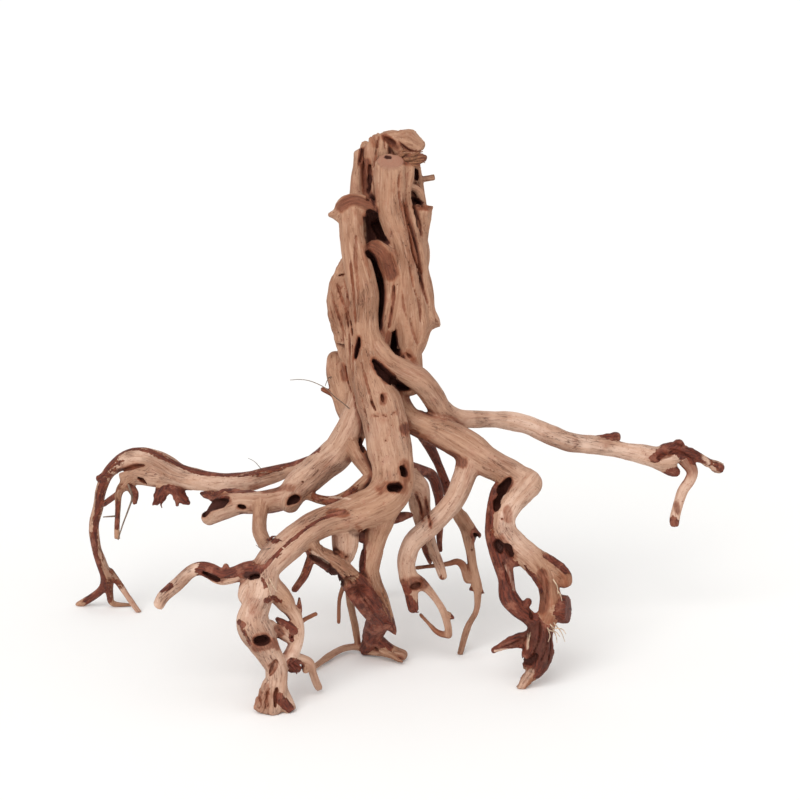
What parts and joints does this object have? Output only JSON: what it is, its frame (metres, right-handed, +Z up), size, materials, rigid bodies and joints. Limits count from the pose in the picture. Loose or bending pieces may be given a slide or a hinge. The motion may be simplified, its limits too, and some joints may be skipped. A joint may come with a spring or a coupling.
{
  "type": "aquarium root wood",
  "caption": "Dried, cleaned branching shrub root for an aquarium, standing on its root tips, with a fused trunk above and long arms spreading to both sides.",
  "frame": {"origin": "centre of the bounding box at the level of the worn feet that the wood stands on", "axes": "+X to the right along the two long arms as the wood is seen from its front, +Y towards its back, +Z up along the trunk"},
  "size_m": [0.3389, 0.1648, 0.2612],
  "materials": {
    "root_wood": "bare, dry, weathered and matt, with fine grain, red-brown remains of bark and dark insect and knot holes"
  },
  "bodies": {
    "root": {"root_wood": "root_wood"}
  },
  "joints": []
}
